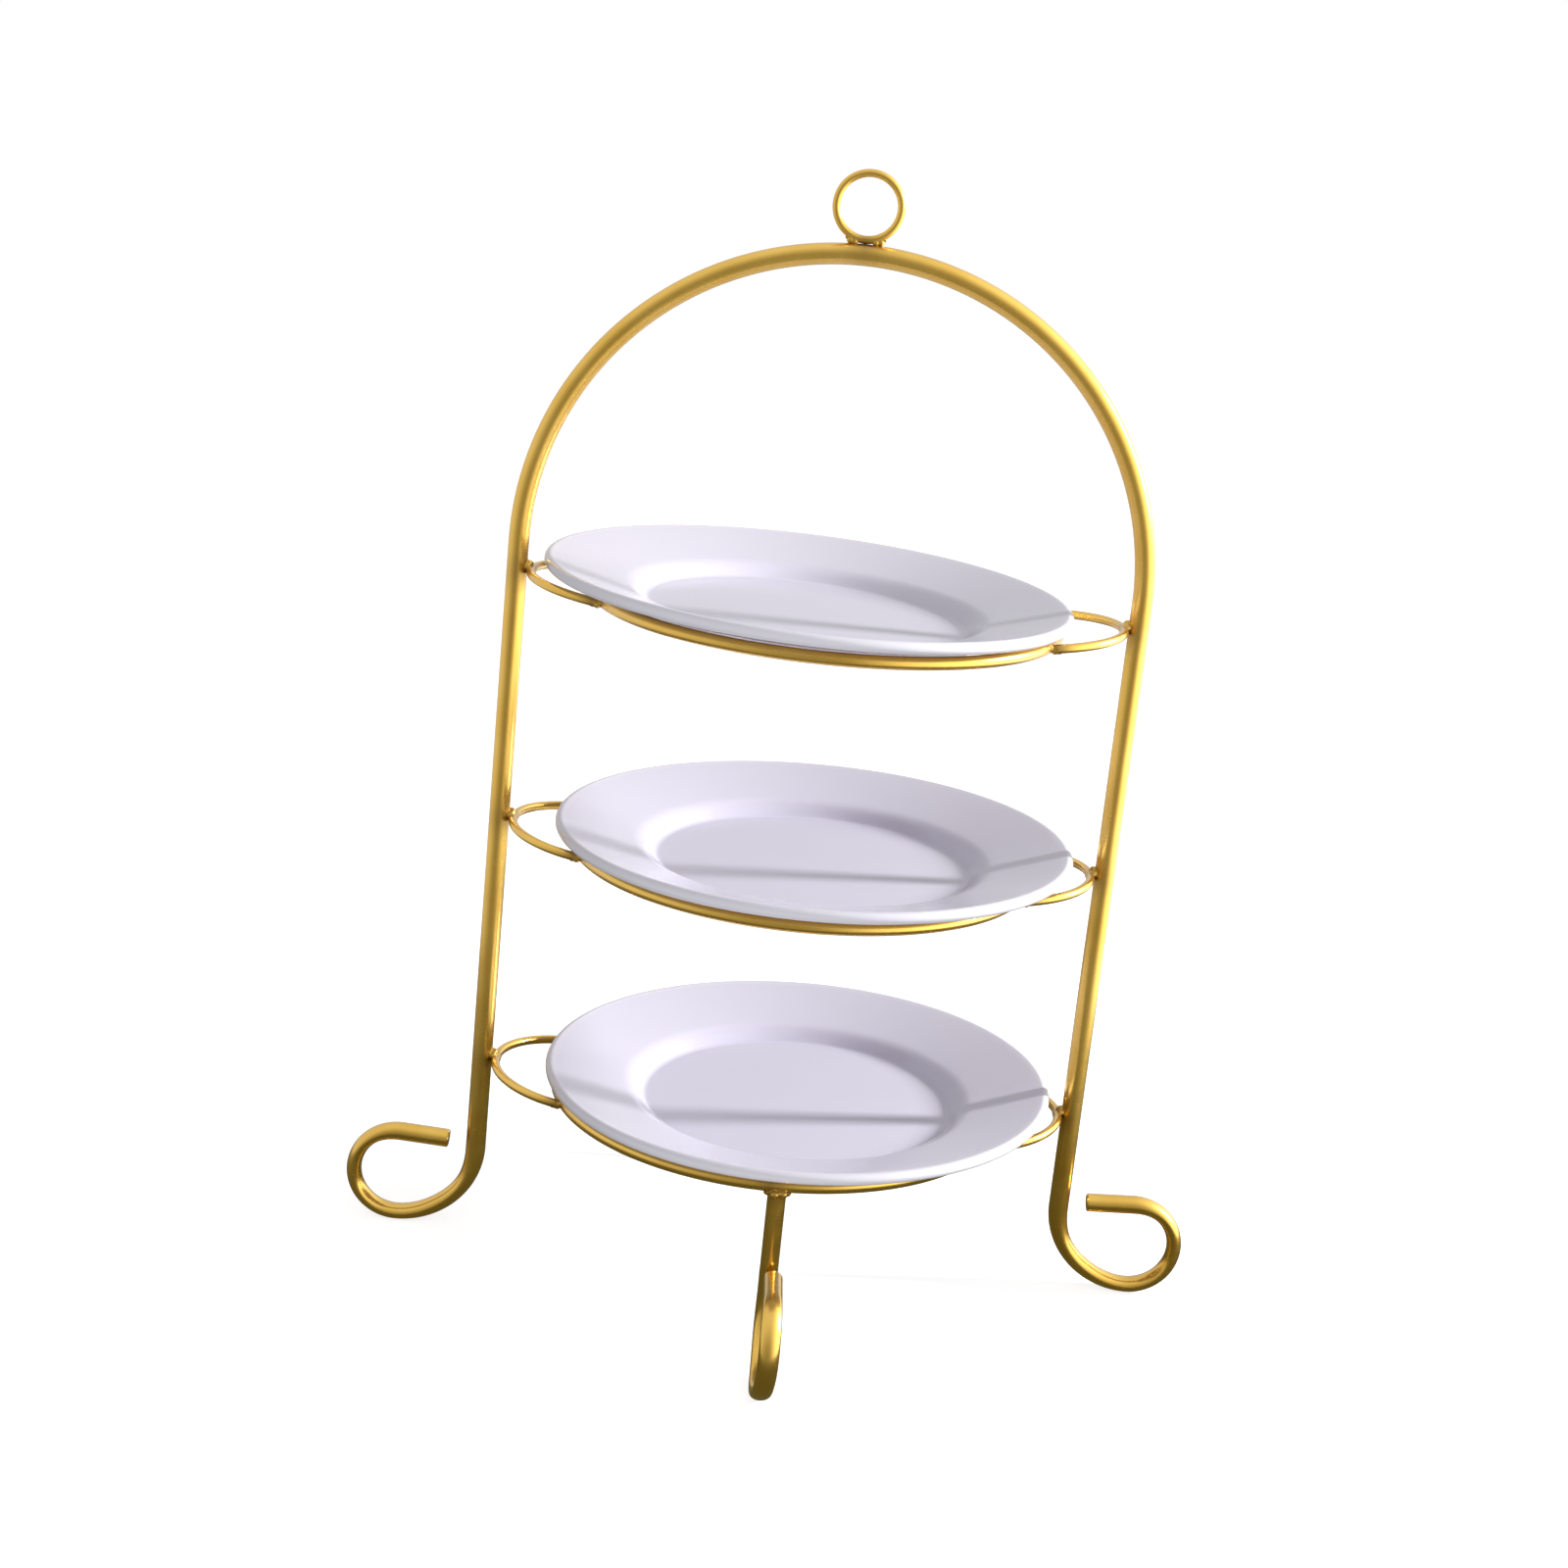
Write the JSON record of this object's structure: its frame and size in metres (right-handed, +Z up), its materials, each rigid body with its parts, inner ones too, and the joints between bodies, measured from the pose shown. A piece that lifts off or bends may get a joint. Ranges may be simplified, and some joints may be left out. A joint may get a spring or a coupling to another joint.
{
  "type": "tiered cake stand",
  "caption": "Tiered cake stand: a bent-rod arch with scroll feet and a carrying ring holds round wire rings, each with a loose white plate.",
  "frame": {"origin": "on the surface the stand rests on, under the middle of the arch", "axes": "+Z up; X across the arch, from upright to upright; -Y is the front, where the front leg stands"},
  "size_m": [0.343, 0.27, 0.4363],
  "materials": {
    "satin_gold": "satin gold plating on steel wire",
    "white_glaze": "glossy white glaze, slightly cool"
  },
  "bodies": {
    "frame": {"arch_rod": "satin_gold", "handle_ring": "satin_gold", "handle_weld_left": "satin_gold", "handle_weld_right": "satin_gold", "lower_ring": "satin_gold", "lower_left_bow": "satin_gold", "lower_left_bend_weld": "satin_gold", "lower_left_front_weld": "satin_gold", "lower_left_rear_weld": "satin_gold", "lower_right_bow": "satin_gold", "lower_right_bend_weld": "satin_gold", "lower_right_front_weld": "satin_gold", "lower_right_rear_weld": "satin_gold", "middle_ring": "satin_gold", "middle_left_bow": "satin_gold", "middle_left_bend_weld": "satin_gold", "middle_left_front_weld": "satin_gold", "middle_left_rear_weld": "satin_gold", "middle_right_bow": "satin_gold", "middle_right_bend_weld": "satin_gold", "middle_right_front_weld": "satin_gold", "middle_right_rear_weld": "satin_gold", "upper_ring": "satin_gold", "upper_left_bow": "satin_gold", "upper_left_bend_weld": "satin_gold", "upper_left_front_weld": "satin_gold", "upper_left_rear_weld": "satin_gold", "upper_right_bow": "satin_gold", "upper_right_bend_weld": "satin_gold", "upper_right_front_weld": "satin_gold", "upper_right_rear_weld": "satin_gold", "front_leg": "satin_gold", "front_leg_weld": "satin_gold", "rear_leg": "satin_gold", "rear_leg_weld": "satin_gold"},
    "lower_plate": {"lower_plate": "white_glaze"},
    "middle_plate": {"middle_plate": "white_glaze"},
    "upper_plate": {"upper_plate": "white_glaze"}
  },
  "joints": [
    {"name": "lower_plate_lift", "type": "slide", "parent": "frame", "child": "lower_plate", "axis": [0, 0, 1], "range_m": [0, 0.08]},
    {"name": "middle_plate_lift", "type": "slide", "parent": "frame", "child": "middle_plate", "axis": [0, 0, 1], "range_m": [0, 0.08]},
    {"name": "upper_plate_lift", "type": "slide", "parent": "frame", "child": "upper_plate", "axis": [0, 0, 1], "range_m": [0, 0.035]}
  ]
}
